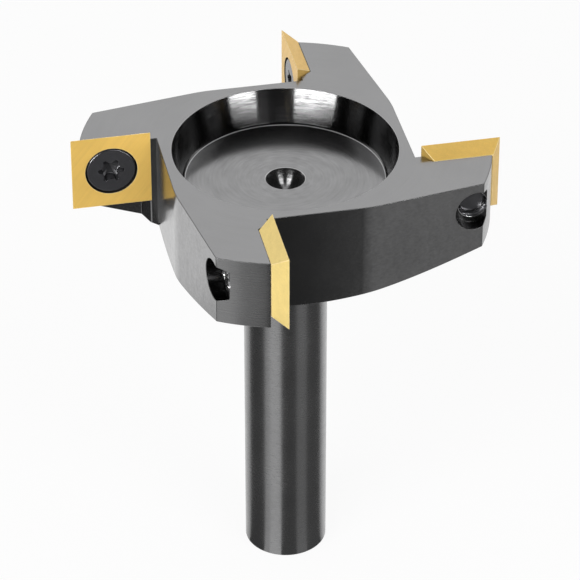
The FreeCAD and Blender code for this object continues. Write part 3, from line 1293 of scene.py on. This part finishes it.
@dataclass(frozen=True)
class Studio:
    """Floor, cards, lamps and camera round the cutter.

    Places round it are given by azimuth, in degrees to the right of the camera's side.
    """

    turn: float = 11.71
    drop: float = 34.736
    camera_place: Place = (-0.08803, -0.42813, 0.34994)
    lens: float = 217.1
    sensor: float = 36.0
    nearest: float = 0.01
    farthest: float = 20.0
    room_light: float = 0.4
    floor_size: float = 8.0
    floor_shade: float = 0.95
    floor_glow: float = 0.9
    target_height: float = 0.06
    card_radius: float = 0.0058
    card_height: float = 0.0001

    def around(self, azimuth: float, distance: float, height: float) -> Vector:
        """Find a place by its azimuth, its distance from the axis and its height."""
        angle = math.radians(azimuth - self.turn)
        return Vector((distance * math.sin(angle), -distance * math.cos(angle), height))

    def camera(self) -> None:
        """Set up the camera at the photograph's angle."""
        data = bpy.data.cameras.new("camera")
        data.lens = self.lens
        data.sensor_width = self.sensor
        data.clip_start = self.nearest
        data.clip_end = self.farthest
        camera = bpy.data.objects.new("camera", data)
        camera.location = self.camera_place
        camera.rotation_euler = (
            math.pi / 2 - math.radians(self.drop), 0, -math.radians(self.turn))
        bpy.context.scene.collection.objects.link(camera)
        bpy.context.scene.camera = camera

    def softbox(self, name: str, azimuth: float, distance: float, height: float,
                size: tuple[float, float], power: float) -> None:
        """Hang a rectangular lamp that looks at the cutter.

        Args:
            name: Name of the lamp.
            azimuth: Degrees to the right of the camera's side.
            distance: Distance from the cutter's axis.
            height: Height of its middle.
            size: Its width and height.
            power: Its power in watts.
        """
        data = bpy.data.lights.new(name, "AREA")
        data.shape = "RECTANGLE"
        data.size, data.size_y = size
        data.energy = power
        lamp = bpy.data.objects.new(name, data)
        lamp.location = self.around(azimuth, distance, height)
        aim = Vector((0, 0, self.target_height)) - lamp.location
        lamp.rotation_euler = aim.to_track_quat("-Z", "Y").to_euler()
        lamp.visible_glossy = False
        bpy.context.scene.collection.objects.link(lamp)

    def world(self) -> None:
        """Light the room evenly, and show it white to the camera and in the metal."""
        world = bpy.data.worlds.new("white_room")
        bpy.context.scene.world = world
        world.use_nodes = True
        graph = Graph(world.node_tree)
        back = world.node_tree.nodes["Background"]
        back.inputs["Color"].default_value = (1, 1, 1, 1)
        graph.feed(back.inputs["Strength"],
                   graph.rescale(self.seen(graph), self.room_light, 1.0))

    @staticmethod
    def seen(graph: Graph) -> Socket:
        """Tell the rays that show the background from those that light the scene.

        Args:
            graph: A material's or the world's graph.

        Returns:
            1 for camera, glossy and transmission rays.
        """
        path = graph.node("ShaderNodeLightPath")
        either = graph.math("MAXIMUM", path.outputs["Is Camera Ray"],
                            path.outputs["Is Glossy Ray"])
        return graph.math("MAXIMUM", either, path.outputs["Is Transmission Ray"])

    @staticmethod
    def unlit(piece: Piece, name: str) -> Graph:
        """Give a piece a material whose surface is still to be wired.

        Args:
            piece: The floor or a card.
            name: Name of the material.

        Returns:
            The material's graph.
        """
        made = bpy.data.materials.new(name)
        made.use_nodes = True
        made.node_tree.nodes.remove(made.node_tree.nodes["Principled BSDF"])
        piece.data.materials.append(made)
        return Graph(made.node_tree)

    def floor(self) -> None:
        """Lay the pale floor, which keeps a soft shadow."""
        clear_selection()
        bpy.ops.mesh.primitive_plane_add(size=self.floor_size)
        floor = bpy.context.active_object
        floor.name = "floor"
        graph = self.unlit(floor, "pale_floor")
        matt = graph.node("ShaderNodeBsdfDiffuse", (*(self.floor_shade,) * 3, 1))
        glow = graph.node("ShaderNodeEmission")
        mix = graph.node(
            "ShaderNodeMixShader", graph.math("MULTIPLY", self.seen(graph), self.floor_glow),
            matt.outputs[0], glow.outputs[0])
        graph.feed(graph.tree.nodes["Material Output"].inputs["Surface"], mix.outputs[0])

    def card(self, name: str, grid: Sequence[Sequence[Vector]], shade: float) -> None:
        """Set up a card that shows only in the metal.

        Args:
            name: Name of the card.
            grid: Its points, row by row.
            shade: How light it is, where 1 is white.
        """
        across = len(grid[0])
        points = [tuple(point) for row in grid for point in row]
        faces = [(row * across + column, row * across + column + 1,
                  (row + 1) * across + column + 1, (row + 1) * across + column)
                 for row in range(len(grid) - 1) for column in range(across - 1)]
        mesh = bpy.data.meshes.new(name)
        mesh.from_pydata(points, [], faces)
        card = bpy.data.objects.new(name, mesh)
        bpy.context.scene.collection.objects.link(card)
        graph = self.unlit(card, name)
        glow = graph.node("ShaderNodeEmission", (shade, shade, shade, 1))
        graph.feed(graph.tree.nodes["Material Output"].inputs["Surface"], glow.outputs[0])
        for ray in ("camera", "diffuse", "transmission", "shadow", "volume_scatter"):
            setattr(card, "visible_" + ray, False)

    def screen(self, name: str, azimuths: Span, rises: Span, shade: float,
               distance: float) -> None:
        """Hang a curved screen round the cutter.

        Args:
            name: Name of the screen.
            azimuths: Azimuths of its left and right ends.
            rises: Elevations of its lower and upper edges, in degrees.
            shade: How light it is.
            distance: Distance from the cutter.
        """
        grid = []
        for rise in spread(*rises, 12):
            angle = math.radians(rise)
            grid.append([self.around(azimuth, distance * math.cos(angle),
                                     distance * math.sin(angle))
                         for azimuth in spread(*azimuths, 10)])
        self.card(name, grid, shade)

    def floor_cards(self, name: str, near: float, far: float,
                    sectors: Sequence[tuple[float, float]]) -> None:
        """Lay a ring of cards on the floor, side by side.

        Their sides leave the shank the way it mirrors the camera, so that each card makes an
        upright band on it.

        Args:
            name: Name of the ring.
            near: Its distance from the shank's surface.
            far: Where it ends.
            sectors: For each card from the left, the azimuth where it starts and its shade.
                The last one only ends the ring.
        """
        for index, ((left, shade), (right, _)) in enumerate(zip(sectors, sectors[1:]), 1):
            grid = [[self.around(azimuth / 2, self.card_radius, self.card_height)
                     + self.around(azimuth, distance, 0) for azimuth in spread(left, right, 10)]
                    for distance in (near, far)]
            self.card("%s_%d" % (name, index), grid, shade)

    def build(self) -> None:
        """Set up the whole studio."""
        scene = bpy.context.scene
        scene.view_settings.view_transform = "Standard"
        self.camera()
        self.world()
        self.floor()
        for name, azimuth, distance, height, size, power in (
                ("left_softbox", -31, 0.9, 0.55, (0.74, 1.1), 8.0),
                ("right_softbox", 42, 0.9, 0.55, (0.54, 1.1), 3.8),
                ("top_softbox", 180, 0.25, 1.1, (0.9, 0.6), 0.5)):
            self.softbox(name, azimuth, distance, height, size, power)
        for name, azimuths, rises, shade, distance in (
                ("dark_screen", (-108, 112), (0, 80), 0.015, 1.6),
                ("left_bright_screen", (-50, -9), (4, 12), 19.0, 1.5),
                ("right_bright_screen", (29, 56), (4, 12), 14.5, 1.5),
                ("left_upper_screen", (-47, -12), (19, 33), 2.4, 1.5),
                ("right_upper_screen", (18, 50), (19, 33), 1.8, 1.5)):
            self.screen(name, azimuths, rises, shade, distance)
        self.floor_cards("near_floor", 0, 0.08, (
            (-142, 0.75), (-127, 0.62), (-117, 0.1), (-60, 0.62), (-44, 0.83), (-12, 0.1),
            (31, 0.28), (61, 0.12), (114, 0.6), (126, 0.9), (140, 0)))
        self.floor_cards("far_floor", 0.08, 1.6, (
            (-106, 0.06), (-50, 0.62), (-24, 0.28), (-8, 0.04), (24, 0.09), (27, 0.15),
            (31, 0.24), (35, 0.32), (62, 0.06), (108, 0)))


def mount(piece: Piece, node: str) -> None:
    """Let a piece stand for its frame node.

    Args:
        piece: The finished piece.
        node: The node that it replaces.
    """
    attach(piece, "root")
    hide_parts(node)
    log.info("%s stands for %s: %d faces", piece.name, node, len(piece.data.polygons))


def main() -> None:
    """Build every piece, then the studio."""
    logging.basicConfig(level=logging.INFO, format="%(name)s: %(message)s")
    layout, effects = ArmLayout(), Effects()
    mount(CutterBody(layout, effects).build(), "cutter_body")
    for number, insert in enumerate(CuttingInserts(layout, effects).build(), 1):
        mount(insert, "cutting_insert_%d" % number)
    for number, screw in enumerate(InsertScrews(layout, effects).build(), 1):
        mount(screw, "insert_screw_%d" % number)
    Studio().build()


if __name__ == "__main__":
    main()
